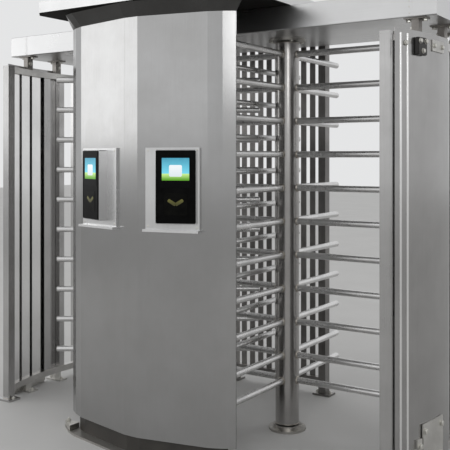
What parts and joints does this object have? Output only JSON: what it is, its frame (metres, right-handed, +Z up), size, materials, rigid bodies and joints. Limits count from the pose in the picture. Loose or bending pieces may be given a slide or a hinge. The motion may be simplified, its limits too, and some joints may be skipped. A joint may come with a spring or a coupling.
{
  "type": "twin-lane full-height turnstile",
  "caption": "Full-height turnstile: steel-barred rotors turn beside a central column with reader terminals, under a roof beam and canopy, between slatted side screens.",
  "frame": {"origin": "on the floor, midway between the two rotor axes", "axes": "+X across the lanes to the right seen from the column's side, -Y towards the column's side, +Z up"},
  "size_m": [2.892, 1.76, 2.39],
  "materials": {
    "steel_sheet": "vertical brushed satin",
    "steel_plate": "satin",
    "steel_tube": "fine polished",
    "rotor_post": "satin",
    "steel_bars": "satin",
    "dark_plinth": "matt",
    "black_case": "gloss",
    "lit_screen": "lit display under glass"
  },
  "bodies": {
    "frame": {"column_housing": "steel_sheet", "column_cornice": "steel_sheet", "roof_beam": "steel_sheet", "canopy_plate": "steel_sheet", "column_base_flange": "steel_plate", "column_plinth": "dark_plinth", "back_screen_slats": "steel_bars", "back_screen_rails": "steel_bars", "back_screen_posts": "steel_bars", "top_bearing_right": "steel_plate", "floor_bearing_right": "steel_plate", "comb_bars_right": "steel_tube", "side_rails_right": "steel_bars", "side_slats_right": "steel_bars", "side_uprights_right": "steel_bars", "side_end_posts_right": "steel_bars", "side_feet_right": "steel_plate", "side_brackets_right": "steel_plate", "terminal_frame_right": "steel_sheet", "terminal_sill_right": "steel_plate", "terminal_right": "black_case", "terminal_screen_right": "lit_screen", "top_bearing_left": "steel_plate", "floor_bearing_left": "steel_plate", "comb_bars_left": "steel_tube", "side_rails_left": "steel_bars", "side_slats_left": "steel_bars", "side_uprights_left": "steel_bars", "side_end_posts_left": "steel_bars", "side_feet_left": "steel_plate", "side_brackets_left": "steel_plate", "terminal_frame_left": "steel_sheet", "terminal_sill_left": "steel_plate", "terminal_left": "black_case", "terminal_screen_left": "lit_screen"},
    "rotor_right": {"rotor_right_post": "rotor_post", "rotor_right_wing_1": "steel_tube", "rotor_right_wing_2": "steel_tube", "rotor_right_wing_3": "steel_tube", "rotor_right_wing_4": "steel_tube"},
    "rotor_left": {"rotor_left_post": "rotor_post", "rotor_left_wing_1": "steel_tube", "rotor_left_wing_2": "steel_tube", "rotor_left_wing_3": "steel_tube", "rotor_left_wing_4": "steel_tube"}
  },
  "joints": [
    {"name": "rotor_right_spin", "type": "hinge", "parent": "frame", "child": "rotor_right", "pos_m": [0.465, 0, 0], "axis": [0, 0, 1], "continuous": true},
    {"name": "rotor_left_spin", "type": "hinge", "parent": "frame", "child": "rotor_left", "pos_m": [-0.465, 0, 0], "axis": [0, 0, 1], "continuous": true}
  ]
}
